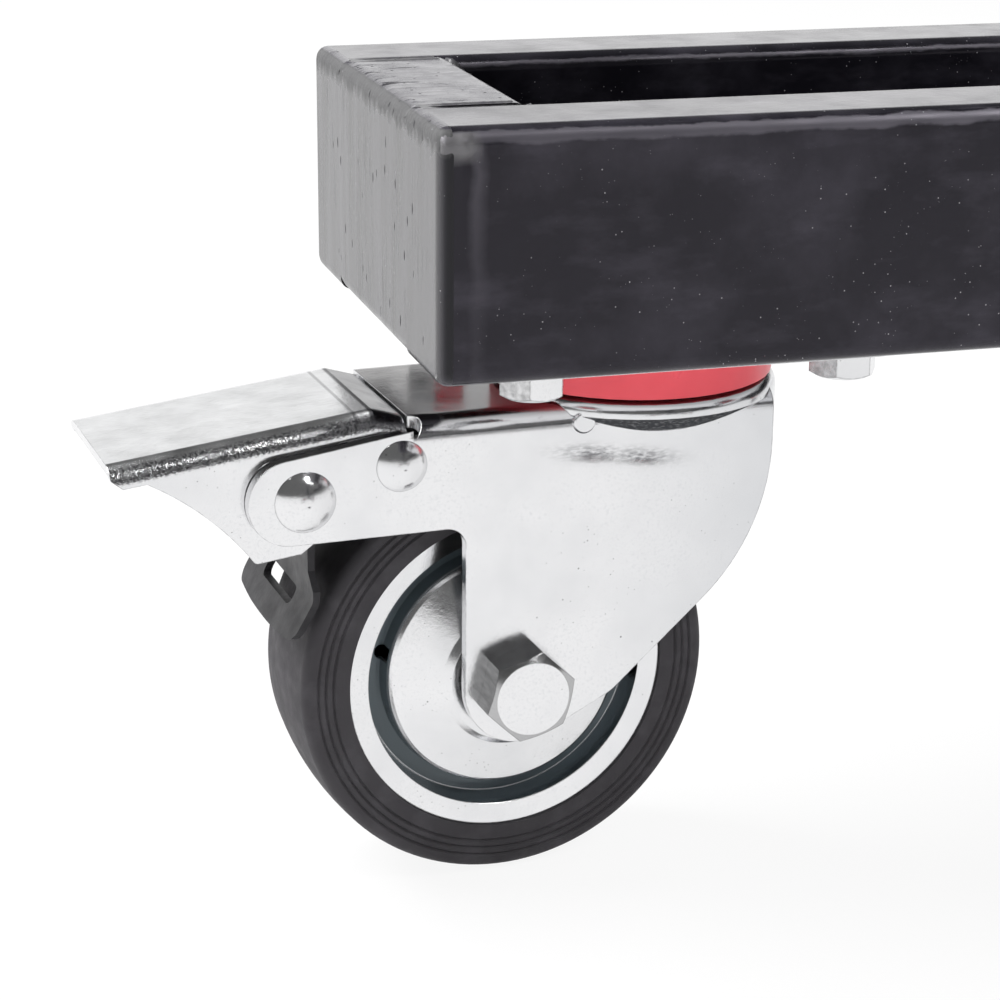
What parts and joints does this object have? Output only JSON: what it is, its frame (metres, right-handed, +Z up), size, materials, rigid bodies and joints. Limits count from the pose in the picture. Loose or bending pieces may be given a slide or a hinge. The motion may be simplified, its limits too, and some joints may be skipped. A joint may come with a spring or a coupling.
{
  "type": "mobile tyre rack",
  "caption": "Tyre rack on swivel castors: double-tube feet, uprights and round rails that carry standing tyres; front castors have a foot-pedal brake.",
  "frame": {"origin": "on the floor under the middle of the whole rack's bounding box", "axes": "+Z up; +Y along the rack, to the left of a person standing in front; +X from the front (brake pedals) to the back"},
  "size_m": [0.7346, 1.1928, 1.153],
  "materials": {
    "frame_paint": "gloss black paint",
    "zinc": "bright zinc plate",
    "bolt_zinc": "zinc plated fasteners",
    "seal_red": "red plastic",
    "tyre_rubber": "charcoal rubber",
    "leaf_steel": "dark spring steel",
    "bearing_steel": "ground steel",
    "plug_plastic": "black plastic"
  },
  "bodies": {
    "frame": {"left_foot_outer_tube": "frame_paint", "left_foot_inner_tube": "frame_paint", "left_upright": "frame_paint", "right_foot_outer_tube": "frame_paint", "right_foot_inner_tube": "frame_paint", "right_upright": "frame_paint", "foot_cross_tubes": "frame_paint", "foot_end_caps": "frame_paint", "stretcher": "frame_paint", "stretcher_plates": "frame_paint", "lower_arms": "frame_paint", "lower_front_rail": "frame_paint", "lower_rear_rail": "frame_paint", "upper_arms": "frame_paint", "upper_front_rail": "frame_paint", "upper_rear_rail": "frame_paint", "end_plugs": "plug_plastic", "frame_bolts": "bolt_zinc", "frame_nuts": "bolt_zinc", "castor_bolts": "bolt_zinc", "castor_inserts": "bolt_zinc", "dust_seals": "seal_red", "king_pins": "zinc", "swivel_balls": "bearing_steel", "front_left_castor_plate": "zinc", "front_right_castor_plate": "zinc", "rear_left_castor_plate": "zinc", "rear_right_castor_plate": "zinc"},
    "front_left_swivel": {"front_left_fork": "zinc", "front_left_axle_bolt": "bolt_zinc", "front_left_axle_sleeve": "bearing_steel", "front_left_brake_rivets": "zinc"},
    "front_left_wheel": {"front_left_tyre": "tyre_rubber", "front_left_rims": "zinc", "front_left_hub": "bearing_steel"},
    "front_left_pedal_body": {"front_left_pedal": "zinc"},
    "front_left_shoe_body": {"front_left_brake_shoe": "leaf_steel"},
    "front_right_swivel": {"front_right_fork": "zinc", "front_right_axle_bolt": "bolt_zinc", "front_right_axle_sleeve": "bearing_steel", "front_right_brake_rivets": "zinc"},
    "front_right_wheel": {"front_right_tyre": "tyre_rubber", "front_right_rims": "zinc", "front_right_hub": "bearing_steel"},
    "front_right_pedal_body": {"front_right_pedal": "zinc"},
    "front_right_shoe_body": {"front_right_brake_shoe": "leaf_steel"},
    "rear_left_swivel": {"rear_left_fork": "zinc", "rear_left_axle_bolt": "bolt_zinc", "rear_left_axle_sleeve": "bearing_steel"},
    "rear_left_wheel": {"rear_left_tyre": "tyre_rubber", "rear_left_rims": "zinc", "rear_left_hub": "bearing_steel"},
    "rear_right_swivel": {"rear_right_fork": "zinc", "rear_right_axle_bolt": "bolt_zinc", "rear_right_axle_sleeve": "bearing_steel"},
    "rear_right_wheel": {"rear_right_tyre": "tyre_rubber", "rear_right_rims": "zinc", "rear_right_hub": "bearing_steel"}
  },
  "joints": [
    {"name": "front_left_swivel_turn", "type": "hinge", "parent": "frame", "child": "front_left_swivel", "pos_m": [-0.2242, 0.5245, 0.1456], "axis": [0, 0, 1], "continuous": true},
    {"name": "front_left_wheel_roll", "type": "hinge", "parent": "front_left_swivel", "child": "front_left_wheel", "pos_m": [-0.26361, 0.52175, 0.0557], "axis": [-0.0698, 0.9976, 0], "continuous": true},
    {"name": "front_left_pedal_press", "type": "hinge", "parent": "front_left_swivel", "child": "front_left_pedal_body", "pos_m": [-0.31947, 0.51784, 0.1109], "axis": [0.0698, -0.9976, 0], "range_deg": [0, 18]},
    {"name": "front_left_shoe_swing", "type": "hinge", "parent": "front_left_swivel", "child": "front_left_shoe_body", "pos_m": [-0.29513, 0.51954, 0.1176], "axis": [0.0698, -0.9976, 0], "range_deg": [0, 4.3]},
    {"name": "front_right_swivel_turn", "type": "hinge", "parent": "frame", "child": "front_right_swivel", "pos_m": [-0.2242, -0.5245, 0.1456], "axis": [0, 0, 1], "continuous": true},
    {"name": "front_right_wheel_roll", "type": "hinge", "parent": "front_right_swivel", "child": "front_right_wheel", "pos_m": [-0.26365, -0.52243, 0.0557], "axis": [0.0523, 0.9986, 0], "continuous": true},
    {"name": "front_right_pedal_press", "type": "hinge", "parent": "front_right_swivel", "child": "front_right_pedal_body", "pos_m": [-0.31957, -0.5195, 0.1109], "axis": [-0.0523, -0.9986, 0], "range_deg": [0, 18]},
    {"name": "front_right_shoe_swing", "type": "hinge", "parent": "front_right_swivel", "child": "front_right_shoe_body", "pos_m": [-0.2952, -0.52078, 0.1176], "axis": [-0.0523, -0.9986, 0], "range_deg": [0, 4.3]},
    {"name": "rear_left_swivel_turn", "type": "hinge", "parent": "frame", "child": "rear_left_swivel", "pos_m": [0.2988, 0.5245, 0.1456], "axis": [0, 0, 1], "continuous": true},
    {"name": "rear_left_wheel_roll", "type": "hinge", "parent": "rear_left_swivel", "child": "rear_left_wheel", "pos_m": [0.25932, 0.52312, 0.0557], "axis": [-0.0349, 0.9994, 0], "continuous": true},
    {"name": "rear_right_swivel_turn", "type": "hinge", "parent": "frame", "child": "rear_right_swivel", "pos_m": [0.2988, -0.5245, 0.1456], "axis": [0, 0, 1], "continuous": true},
    {"name": "rear_right_wheel_roll", "type": "hinge", "parent": "rear_right_swivel", "child": "rear_right_wheel", "pos_m": [0.25945, -0.52106, 0.0557], "axis": [0.0872, 0.9962, 0], "continuous": true}
  ],
  "couplings": [
    {"joint": "front_left_shoe_swing", "follows": "front_left_pedal_press", "ratio": 0.2387},
    {"joint": "front_right_shoe_swing", "follows": "front_right_pedal_press", "ratio": 0.2387}
  ]
}
